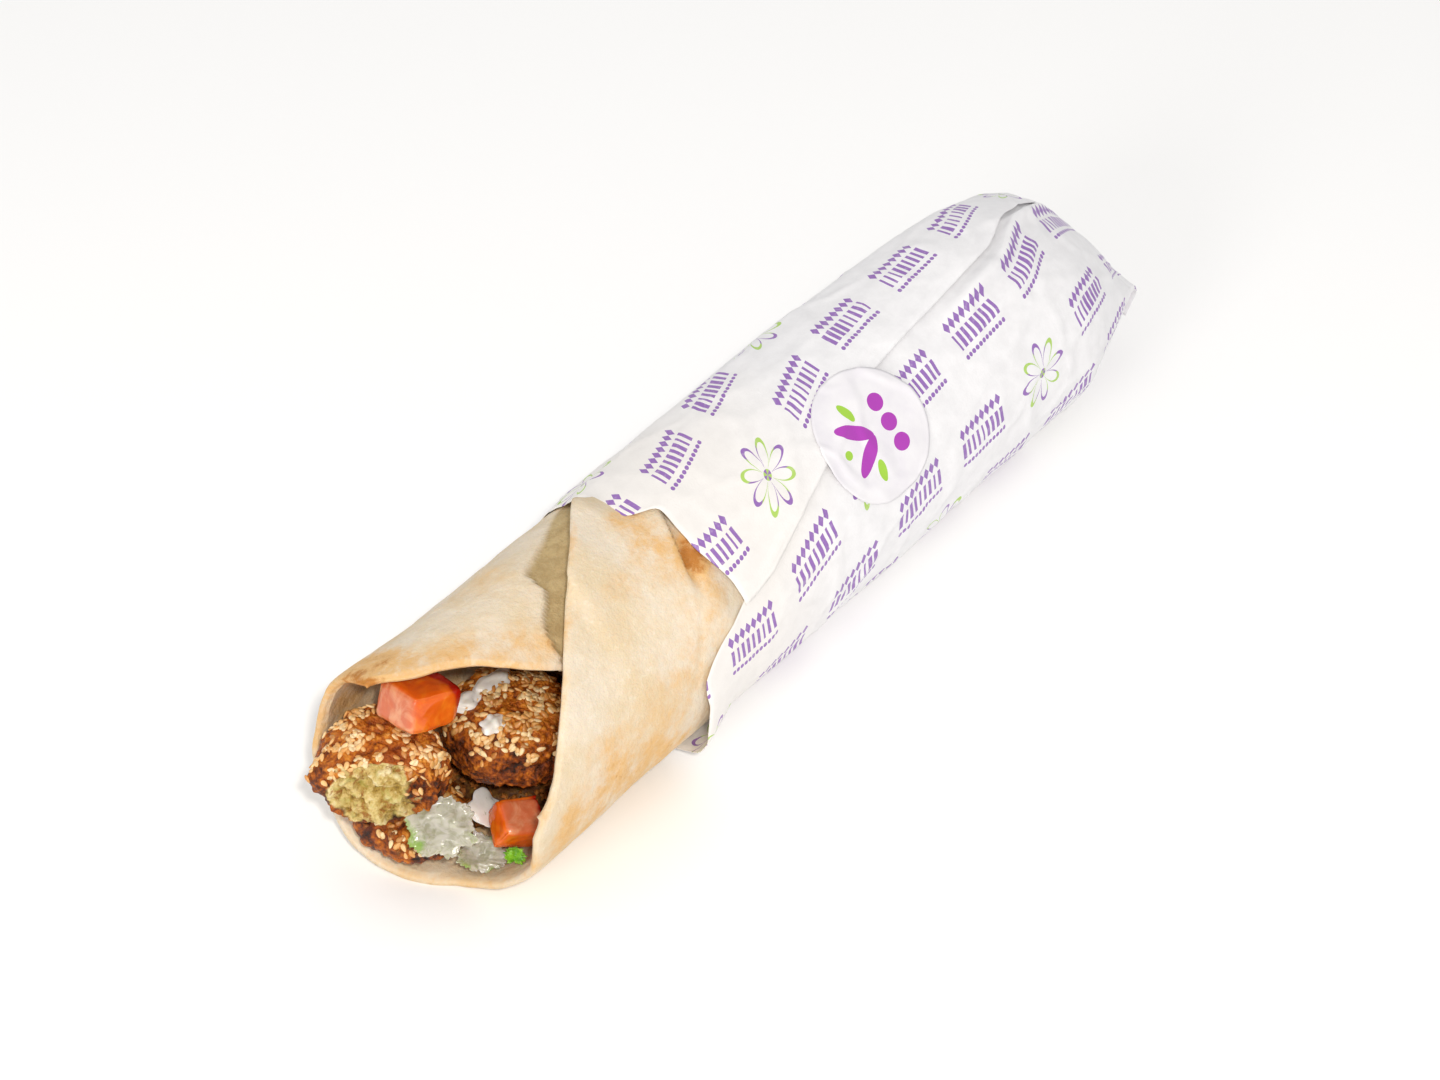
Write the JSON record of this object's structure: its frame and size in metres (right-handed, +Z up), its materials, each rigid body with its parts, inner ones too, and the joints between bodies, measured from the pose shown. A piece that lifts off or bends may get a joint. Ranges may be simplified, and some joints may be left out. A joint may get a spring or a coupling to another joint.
{
  "type": "falafel sandwich",
  "caption": "Falafel wrap rolled in flatbread, with falafel, tomato and lettuce showing at its open end, in a printed paper wrapper closed by a round sticker.",
  "frame": {"origin": "on the flat strip the wrap rests on, under the roll's axis and halfway along it", "axes": "+X along the roll from its open mouth to the closed paper end, +Z up"},
  "size_m": [0.2557, 0.062, 0.0625],
  "materials": {
    "bread": "matte baked flatbread",
    "paper": "satin greaseproof paper",
    "sticker": "satin label paper",
    "filling": "rough, moist filling",
    "crust": "craggy fried crust",
    "tomato": "wet cut tomato",
    "lettuce": "crisp leaf",
    "herb": "fresh leaf"
  },
  "bodies": {
    "root": {"bread": "bread", "paper": "paper", "sticker": "sticker", "filling": "filling", "falafel_right": "crust", "falafel_left": "crust", "falafel_low": "crust", "tomato_top": "tomato", "tomato_side": "tomato", "lettuce_heart": "lettuce", "lettuce_shred": "lettuce", "herb_leaf": "herb"}
  },
  "joints": []
}
